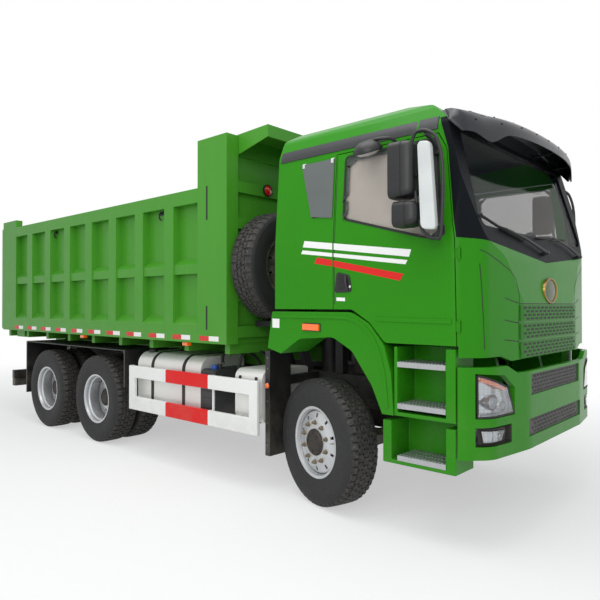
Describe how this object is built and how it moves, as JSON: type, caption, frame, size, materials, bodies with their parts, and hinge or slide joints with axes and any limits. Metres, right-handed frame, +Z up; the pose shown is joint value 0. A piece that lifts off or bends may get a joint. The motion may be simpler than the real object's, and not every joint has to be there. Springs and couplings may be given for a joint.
{
  "type": "dump truck",
  "caption": "Rear-tipping dump truck with a cab over the engine, a ribbed steel load bed, twin rear wheels, a spare wheel behind the cab and a top-hung tailgate.",
  "frame": {"origin": "on the ground, in the middle of the truck's overall box", "axes": "+X forward along the truck, +Y to its left, +Z up"},
  "size_m": [8.02, 2.95, 3.39],
  "materials": {
    "cab_paint": "gloss",
    "bed_paint": "satin",
    "frame_black": "satin",
    "black_plastic": "satin",
    "white_paint": "gloss",
    "silver": "satin",
    "tyre_rubber": "matt",
    "glass": "gloss",
    "lamp_clear": "gloss",
    "lamp_red": "gloss",
    "fabric": "matt",
    "interior": "matt",
    "steel": "satin",
    "cast": "matt",
    "urea_plastic": "satin"
  },
  "bodies": {
    "chassis": {"frame_rails": "frame_black", "front_axle": "cast", "rear_axles": "cast", "engine_and_gearbox": "cast", "front_bumper": "cab_paint", "front_lamps": "lamp_clear", "bumper_grilles": "black_plastic", "step_boxes": "cab_paint", "step_treads": "silver", "front_fenders": "cab_paint", "mudguards": "black_plastic", "fuel_tank": "silver", "urea_tank": "urea_plastic", "battery_box": "silver", "side_guards": "white_paint", "air_tanks": "frame_black", "exhaust_box": "silver", "hydraulic_tank": "frame_black", "spare_tyre": "tyre_rubber", "spare_rim": "silver", "spare_carrier": "frame_black", "underride_bar": "frame_black", "tail_lamps": "lamp_red"},
    "cab": {"cab_shell": "cab_paint", "windscreen_surround": "black_plastic", "cab_glass": "glass", "front_grille": "black_plastic", "sun_visor": "black_plastic", "cab_seats": "fabric", "dashboard": "interior"},
    "right_door": {"door_right": "cab_paint", "door_right_glass": "glass", "mirror_right": "black_plastic"},
    "left_door": {"door_left": "cab_paint", "door_left_glass": "glass", "mirror_left": "black_plastic"},
    "steer_right": {"knuckle_right": "cast"},
    "steer_left": {"knuckle_left": "cast"},
    "wheel_front_right": {"tyre_front_right": "tyre_rubber", "rim_front_right": "silver"},
    "wheel_front_left": {"tyre_front_left": "tyre_rubber", "rim_front_left": "silver"},
    "wheels_mid_right": {"tyres_mid_right": "tyre_rubber", "rims_mid_right": "silver"},
    "wheels_mid_left": {"tyres_mid_left": "tyre_rubber", "rims_mid_left": "silver"},
    "wheels_rear_right": {"tyres_rear_right": "tyre_rubber", "rims_rear_right": "silver"},
    "wheels_rear_left": {"tyres_rear_left": "tyre_rubber", "rims_rear_left": "silver"},
    "bed": {"bed_floor": "bed_paint", "bed_sides": "bed_paint", "bed_front": "bed_paint"},
    "rear_gate": {"tailgate": "bed_paint"},
    "hoist_tube": {"hoist_barrel": "frame_black"},
    "hoist_middle_1": {"hoist_stage_1": "steel"},
    "hoist_middle_2": {"hoist_stage_2": "steel"},
    "hoist_rod": {"hoist_stage_3": "steel"}
  },
  "joints": [
    {"name": "steer_right", "type": "hinge", "parent": "chassis", "child": "steer_right", "pos_m": [2.46, -0.86, 0.538], "axis": [0, 0, 1], "range_deg": [-23, 53]},
    {"name": "steer_left", "type": "hinge", "parent": "chassis", "child": "steer_left", "pos_m": [2.46, 0.86, 0.538], "axis": [0, 0, 1], "range_deg": [-23, 53]},
    {"name": "wheel_front_right", "type": "hinge", "parent": "steer_right", "child": "wheel_front_right", "pos_m": [2.42118, -1.00489, 0.538], "axis": [0.2588, 0.9659, 0], "continuous": true},
    {"name": "wheel_front_left", "type": "hinge", "parent": "steer_left", "child": "wheel_front_left", "pos_m": [2.49882, 1.00489, 0.538], "axis": [0.2588, 0.9659, 0], "continuous": true},
    {"name": "wheels_mid_right", "type": "hinge", "parent": "chassis", "child": "wheels_mid_right", "pos_m": [-1.14, -1.075, 0.538], "axis": [0, 1, 0], "continuous": true},
    {"name": "wheels_mid_left", "type": "hinge", "parent": "chassis", "child": "wheels_mid_left", "pos_m": [-1.14, 1.075, 0.538], "axis": [0, 1, 0], "continuous": true},
    {"name": "wheels_rear_right", "type": "hinge", "parent": "chassis", "child": "wheels_rear_right", "pos_m": [-2.49, -1.075, 0.538], "axis": [0, 1, 0], "continuous": true},
    {"name": "wheels_rear_left", "type": "hinge", "parent": "chassis", "child": "wheels_rear_left", "pos_m": [-2.49, 1.075, 0.538], "axis": [0, 1, 0], "continuous": true},
    {"name": "cab_tilt", "type": "hinge", "parent": "chassis", "child": "cab", "pos_m": [3.71, 0, 0.98], "axis": [0, 1, 0], "range_deg": [0, 50]},
    {"name": "door_right", "type": "hinge", "parent": "cab", "child": "right_door", "pos_m": [3.768, -1.226, 2.1], "axis": [0, 0, 1], "range_deg": [0, 70]},
    {"name": "door_left", "type": "hinge", "parent": "cab", "child": "left_door", "pos_m": [3.768, 1.226, 2.1], "axis": [0, 0, -1], "range_deg": [0, 70]},
    {"name": "bed_tilt", "type": "hinge", "parent": "chassis", "child": "bed", "pos_m": [-3.49, 0, 1.1], "axis": [0, -1, 0], "range_deg": [0, 50]},
    {"name": "tailgate_swing", "type": "hinge", "parent": "bed", "child": "rear_gate", "pos_m": [-3.875, 0, 2.945], "axis": [0, 1, 0], "range_deg": [0, 75]},
    {"name": "hoist_lean", "type": "hinge", "parent": "bed", "child": "hoist_tube", "pos_m": [1.66, 0, 1.5], "axis": [0, -1, 0], "range_deg": [-24.27, 0]},
    {"name": "hoist_draw_1", "type": "slide", "parent": "hoist_tube", "child": "hoist_middle_1", "axis": [0, 0, -1], "range_m": [0, 1.4309]},
    {"name": "hoist_draw_2", "type": "slide", "parent": "hoist_middle_1", "child": "hoist_middle_2", "axis": [0, 0, -1], "range_m": [0, 1.4309]},
    {"name": "hoist_draw_3", "type": "slide", "parent": "hoist_middle_2", "child": "hoist_rod", "axis": [0, 0, -1], "range_m": [0, 1.4309]}
  ],
  "couplings": [
    {"joint": "steer_left", "follows": "steer_right", "ratio": 1},
    {"joint": "hoist_lean", "follows": "bed_tilt", "ratio": -0.4853},
    {"joint": "hoist_draw_1", "follows": "bed_tilt", "m_per_rad": 1.6396},
    {"joint": "hoist_draw_2", "follows": "bed_tilt", "m_per_rad": 1.6396},
    {"joint": "hoist_draw_3", "follows": "bed_tilt", "m_per_rad": 1.6396}
  ]
}
